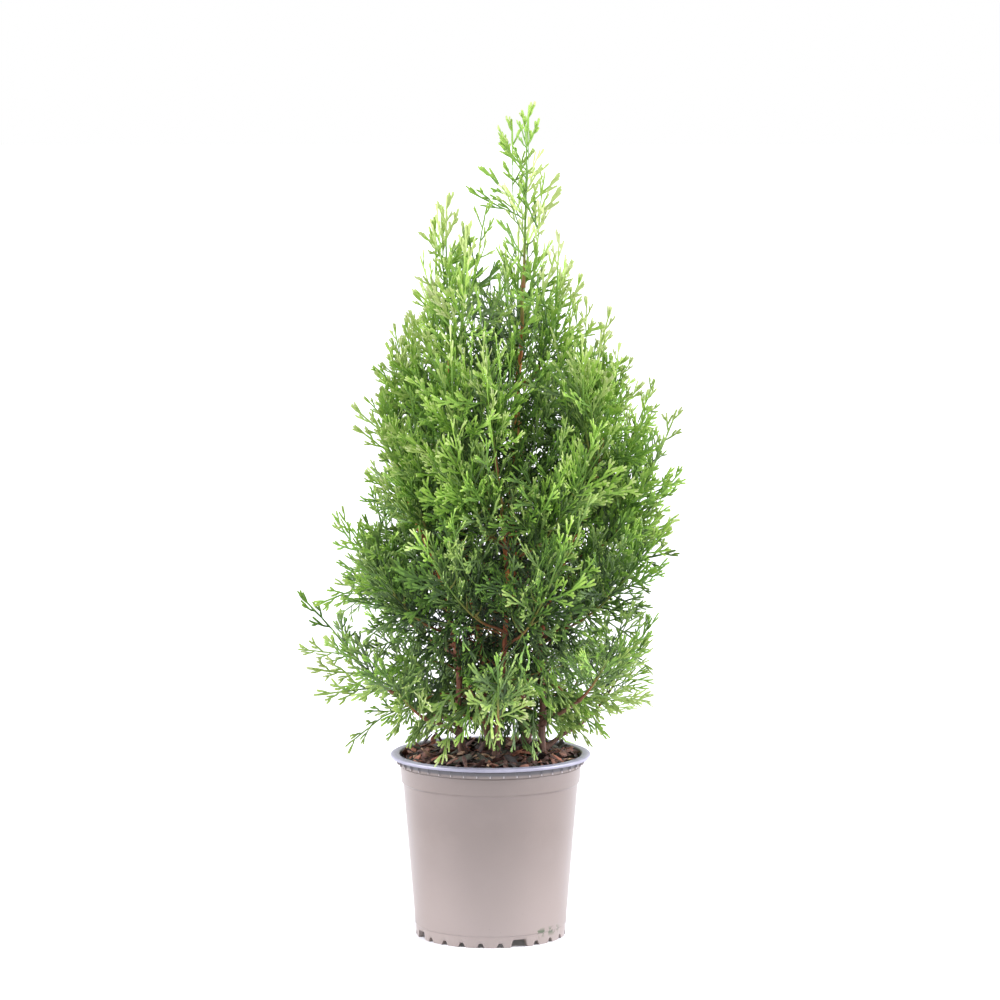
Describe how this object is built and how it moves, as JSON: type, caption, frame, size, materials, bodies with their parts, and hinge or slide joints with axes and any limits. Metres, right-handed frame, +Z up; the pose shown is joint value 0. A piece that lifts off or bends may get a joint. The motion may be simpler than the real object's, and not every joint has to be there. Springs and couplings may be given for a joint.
{
  "type": "potted thuja",
  "caption": "Young thuja of several upright stems with flat sprays of scale leaves, in a round nursery pot filled to the rim with soil and bark mulch.",
  "frame": {"origin": "centre of the pot's underside, on the plane that the foot ring stands on", "axes": "+Z up along the pot's axis, -Y towards the front, +X to the right of the front view"},
  "size_m": [0.3681, 0.335, 0.7949],
  "materials": {
    "pot_plastic": "matt, faintly mottled taupe with a paler grey rim",
    "bark_mulch": "rough, dry chips over dark soil",
    "bark": "shredding fibrous bark, orange-brown on young wood",
    "foliage": "satin scale leaves, yellow-green at the tips"
  },
  "bodies": {
    "root": {"bark_mulch": "bark_mulch", "bough_skirt_1": "bark", "bough_skirt_2": "bark", "bough_skirt_3": "bark", "bough_skirt_4": "bark", "bough_skirt_5": "bark", "bough_skirt_6": "bark", "bough_skirt_7": "bark", "bough_skirt_8": "bark", "foliage_crown_1": "foliage", "foliage_crown_2": "foliage", "foliage_crown_3": "foliage", "foliage_crown_4": "foliage", "foliage_droop_1": "foliage", "foliage_droop_2": "foliage", "foliage_droop_3": "foliage", "foliage_droop_4": "foliage", "foliage_droop_5": "foliage", "foliage_lower_1": "foliage", "foliage_lower_2": "foliage", "foliage_lower_3": "foliage", "foliage_lower_4": "foliage", "foliage_lower_5": "foliage", "foliage_lower_6": "foliage", "foliage_lower_7": "foliage", "foliage_lower_8": "foliage", "foliage_middle_1": "foliage", "foliage_middle_2": "foliage", "foliage_middle_3": "foliage", "foliage_middle_4": "foliage", "foliage_middle_5": "foliage", "foliage_middle_6": "foliage", "foliage_middle_7": "foliage", "foliage_skirt_1": "foliage", "foliage_skirt_2": "foliage", "foliage_skirt_3": "foliage", "foliage_skirt_4": "foliage", "foliage_skirt_5": "foliage", "foliage_skirt_6": "foliage", "foliage_skirt_7": "foliage", "foliage_skirt_8": "foliage", "foliage_tip_back": "foliage", "foliage_tip_front": "foliage", "foliage_tip_left": "foliage", "foliage_tip_left_leader": "foliage", "foliage_tip_right": "foliage", "foliage_tip_trunk": "foliage", "foliage_upper_1": "foliage", "foliage_upper_2": "foliage", "foliage_upper_3": "foliage", "foliage_upper_4": "foliage", "foliage_upper_5": "foliage", "pot": "pot_plastic", "stem_back": "bark", "stem_front": "bark", "stem_left": "bark", "stem_left_leader": "bark", "stem_right": "bark", "trunk": "bark"}
  },
  "joints": []
}
